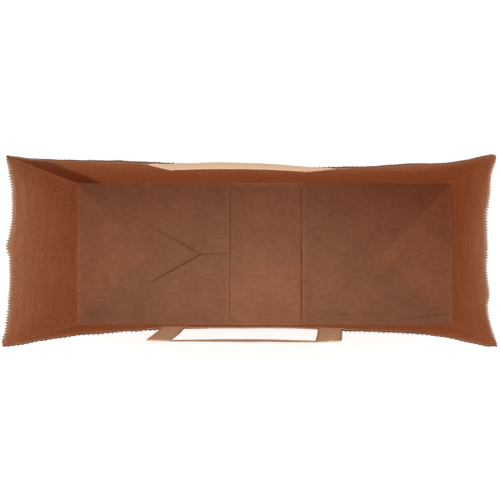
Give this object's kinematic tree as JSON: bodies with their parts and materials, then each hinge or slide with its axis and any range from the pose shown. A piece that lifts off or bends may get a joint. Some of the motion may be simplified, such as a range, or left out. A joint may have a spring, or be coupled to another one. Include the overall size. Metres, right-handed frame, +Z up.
{
  "type": "paper carrier bag",
  "caption": "Open brown kraft paper carrier bag with a flat folded base, gusseted sides, a pinked rim and flat folded tape handles pasted inside its mouth.",
  "frame": {"origin": "centre of the base's underside, where the open bag stands", "axes": "+X along the bag's width, +Y from its front to its back, +Z up towards the mouth and handles"},
  "size_m": [0.45, 0.1752, 0.565],
  "materials": {
    "kraft": "matt uncoated kraft with fine fibres",
    "tape": "matt folded kraft tape",
    "patch": "matt kraft"
  },
  "bodies": {
    "root": {"bag": "kraft", "front_handle": "tape", "back_handle": "tape", "front_patch": "patch", "back_patch": "patch"}
  },
  "joints": []
}
